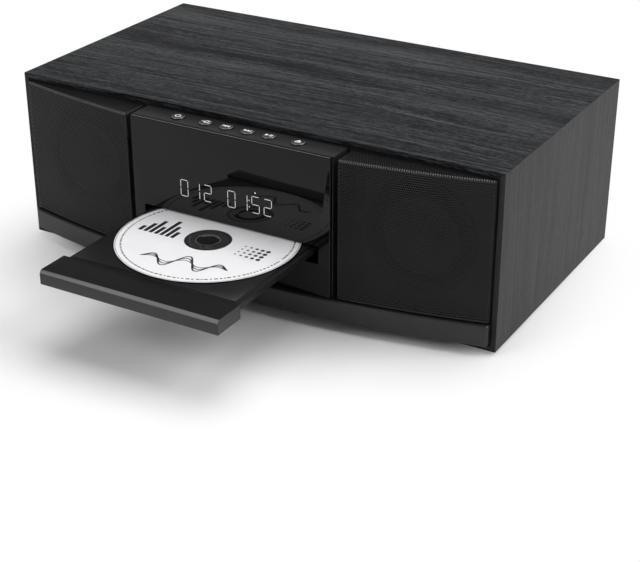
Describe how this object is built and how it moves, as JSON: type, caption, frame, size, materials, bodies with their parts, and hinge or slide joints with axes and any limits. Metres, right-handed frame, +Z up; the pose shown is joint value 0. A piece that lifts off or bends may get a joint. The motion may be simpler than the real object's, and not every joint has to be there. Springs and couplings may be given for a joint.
{
  "type": "cd stereo system",
  "caption": "Compact tabletop CD stereo: wood-grain cabinet with a bowed front, speaker grilles either side of a glossy console, and a powered disc tray drawn out with a disc in it.",
  "frame": {"origin": "on the table, under the middle of the whole footprint with the tray out", "axes": "+X to the right seen from the front, +Y to the back, +Z up"},
  "size_m": [0.364, 0.3276, 0.1232],
  "materials": {
    "wood": "satin black ash-grain veneer on fibreboard",
    "trim": "satin black moulded plastic",
    "fascia": "polished smoked acrylic",
    "grille": "perforated steel sheet, matt black paint",
    "tray": "satin dark grey moulded plastic",
    "disc": "polycarbonate with a white printed label",
    "rubber": "moulded rubber",
    "board": "glass-epoxy circuit board",
    "component": "black component plastic",
    "display": "black display glass",
    "steel": "zinc plated steel",
    "magnet": "sintered ferrite",
    "cone": "coated pulp cone",
    "aluminium": "extruded aluminium",
    "copper": "enamelled copper wire, taped",
    "loader": "glass-filled moulded plastic",
    "gear": "natural acetal",
    "lens": "coated lens",
    "panel": "black textured panel"
  },
  "bodies": {
    "cabinet": {"cabinet_top": "wood", "cabinet_bottom": "wood", "cabinet_left": "wood", "cabinet_right": "wood", "rear_panel": "panel", "front_baffle": "panel", "feet": "rubber", "driver_surround_left": "rubber", "driver_surround_right": "rubber", "cord_gland": "rubber", "drive_belt": "rubber", "base_skirt": "trim", "console_shell": "trim", "fascia_panel": "fascia", "grille_left": "grille", "grille_right": "grille", "driver_basket_left": "steel", "driver_basket_right": "steel", "loading_motor": "steel", "clamp_bridge": "steel", "transformer_core": "steel", "driver_magnet_left": "magnet", "driver_magnet_right": "magnet", "main_board": "board", "display_board": "board", "key_board": "board", "aux_jack": "component", "ir_receiver": "component", "key_switches": "component", "capacitors": "component", "display_module": "display", "heat_sink": "aluminium", "board_standoffs": "aluminium", "transformer_winding": "copper", "loader_chassis": "loader"},
    "tray": {"disc_tray": "tray", "tray_front": "tray"},
    "disc": {"disc": "disc"},
    "pinion": {"drive_pinion": "gear"},
    "pulley": {"motor_pulley": "gear"},
    "traverse": {"traverse_chassis": "loader", "spindle_motor": "steel", "guide_rods": "steel", "sled_motor": "steel"},
    "turntable": {"turntable": "loader"},
    "pickup": {"optical_pickup": "component", "pickup_lens": "lens"},
    "screw": {"lead_screw": "steel"},
    "clamper": {"clamper": "loader"},
    "cone_left": {"driver_cone_left": "cone", "driver_cap_left": "cone"},
    "cone_right": {"driver_cone_right": "cone", "driver_cap_right": "cone"},
    "power_key": {"power_key": "trim"},
    "source_key": {"source_key": "trim"},
    "previous_key": {"previous_key": "trim"},
    "next_key": {"next_key": "trim"},
    "play_key": {"play_key": "trim"},
    "eject_key": {"eject_key": "trim"}
  },
  "joints": [
    {"name": "tray_slide", "type": "slide", "parent": "cabinet", "child": "tray", "axis": [0, 1, 0], "range_m": [0, 0.1121]},
    {"name": "pinion_spin", "type": "hinge", "parent": "cabinet", "child": "pinion", "pos_m": [-0.045, -0.01515, 0.0521], "axis": [0, 0, 1], "range_deg": [-918.6, 1]},
    {"name": "pulley_spin", "type": "hinge", "parent": "cabinet", "child": "pulley", "pos_m": [-0.008, -0.01515, 0.0429], "axis": [0, 0, 1], "range_deg": [-3540.1, 1]},
    {"name": "disc_spin", "type": "hinge", "parent": "tray", "child": "disc", "pos_m": [0, -0.07615, 0.055], "axis": [0, 0, 1], "continuous": true},
    {"name": "traverse_lift", "type": "hinge", "parent": "cabinet", "child": "traverse", "pos_m": [0, 0.11695, 0.0452], "axis": [-1, 0, 0], "range_deg": [0, 4.96]},
    {"name": "turntable_spin", "type": "hinge", "parent": "traverse", "child": "turntable", "pos_m": [0, 0.03543, 0.04766], "axis": [0, -0.0864, 0.9963], "continuous": true},
    {"name": "pickup_slide", "type": "slide", "parent": "traverse", "child": "pickup", "axis": [0, 0.9963, 0.0864], "range_m": [0, 0.034]},
    {"name": "screw_spin", "type": "hinge", "parent": "traverse", "child": "screw", "pos_m": [-0.027, 0.0481, 0.0324], "axis": [0, 0.9963, 0.0864], "range_deg": [-1, 4081]},
    {"name": "clamper_spin", "type": "hinge", "parent": "cabinet", "child": "clamper", "pos_m": [0, 0.03595, 0.0602], "axis": [0, 0, 1], "continuous": true},
    {"name": "power_key_press", "type": "slide", "parent": "cabinet", "child": "power_key", "axis": [0, 0, -1], "range_m": [0, 0.0008], "stiffness_N_per_m": 1500},
    {"name": "source_key_press", "type": "slide", "parent": "cabinet", "child": "source_key", "axis": [0, 0, -1], "range_m": [0, 0.0008], "stiffness_N_per_m": 1500},
    {"name": "previous_key_press", "type": "slide", "parent": "cabinet", "child": "previous_key", "axis": [0, 0, -1], "range_m": [0, 0.0008], "stiffness_N_per_m": 1500},
    {"name": "next_key_press", "type": "slide", "parent": "cabinet", "child": "next_key", "axis": [0, 0, -1], "range_m": [0, 0.0008], "stiffness_N_per_m": 1500},
    {"name": "play_key_press", "type": "slide", "parent": "cabinet", "child": "play_key", "axis": [0, 0, -1], "range_m": [0, 0.0008], "stiffness_N_per_m": 1500},
    {"name": "eject_key_press", "type": "slide", "parent": "cabinet", "child": "eject_key", "axis": [0, 0, -1], "range_m": [0, 0.0008], "stiffness_N_per_m": 1500},
    {"name": "cone_left_stroke", "type": "slide", "parent": "cabinet", "child": "cone_left", "axis": [0, -1, 0], "range_m": [-0.0015, 0.0015], "stiffness_N_per_m": 1500, "deforming": ["driver_surround_left"]},
    {"name": "cone_right_stroke", "type": "slide", "parent": "cabinet", "child": "cone_right", "axis": [0, -1, 0], "range_m": [-0.0015, 0.0015], "stiffness_N_per_m": 1500, "deforming": ["driver_surround_right"]}
  ],
  "couplings": [
    {"joint": "pinion_spin", "follows": "tray_slide", "rad_per_m": -142.86},
    {"joint": "pulley_spin", "follows": "tray_slide", "rad_per_m": -551.02},
    {"joint": "screw_spin", "follows": "pickup_slide", "rad_per_m": 2094.4}
  ]
}
